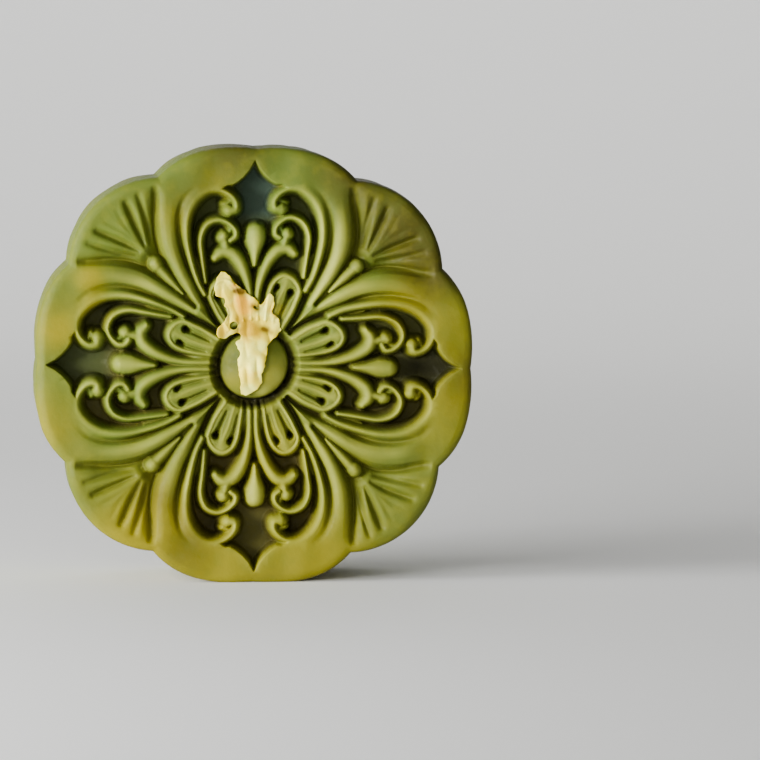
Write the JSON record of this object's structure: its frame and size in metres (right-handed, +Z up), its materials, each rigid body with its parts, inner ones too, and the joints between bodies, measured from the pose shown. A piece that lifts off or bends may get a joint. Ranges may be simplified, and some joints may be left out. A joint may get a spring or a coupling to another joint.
{
  "type": "matcha mooncake",
  "caption": "Pressed green tea mooncake standing on its edge, with a lobed rim, deep scrollwork petals around a domed hub, and bits of gold leaf.",
  "frame": {"origin": "centre of the part's box at the level of the small flat foot it stands on", "axes": "+Z up along the top petal, patterned face towards -Y, +X to the right when looking at the face"},
  "size_m": [0.0658, 0.024, 0.0652],
  "materials": {
    "dough": "baked matcha dough, satin, paler on the crests and darker in the hollows",
    "gold_leaf": "crumpled edible gold leaf, bright cream to warm orange"
  },
  "bodies": {
    "root": {"cake": "dough", "gold_leaf_hub": "gold_leaf", "gold_leaf_petal": "gold_leaf"}
  },
  "joints": []
}
